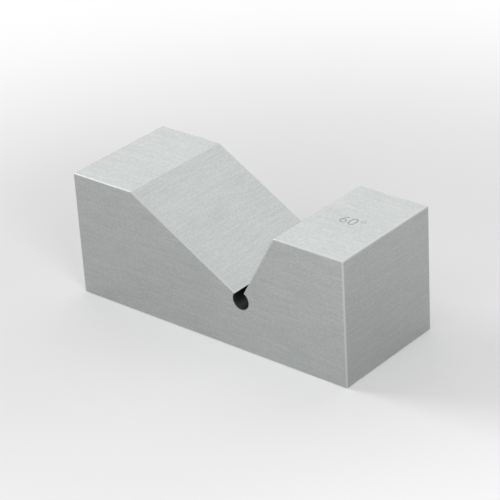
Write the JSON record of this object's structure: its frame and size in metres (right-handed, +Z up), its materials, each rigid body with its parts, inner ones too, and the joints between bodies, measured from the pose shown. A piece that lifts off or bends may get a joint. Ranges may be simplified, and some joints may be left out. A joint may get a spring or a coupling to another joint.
{
  "type": "angle setup block",
  "caption": "Square ground steel bar with a right-angled V across its top, tipped to give a 30 degree and a 60 degree wall, with a relief hole along the root.",
  "frame": {"origin": "middle of the base, on the surface that the block stands on", "axes": "+X along the bar, from the gentle wall's side to the steep wall's side; +Y along the V, from the front face to the back face; +Z up out of the base"},
  "size_m": [0.0794, 0.0318, 0.0318],
  "materials": {
    "ground_steel": "fine surface-ground tool steel"
  },
  "bodies": {
    "root": {"setup_block": "ground_steel"}
  },
  "joints": []
}
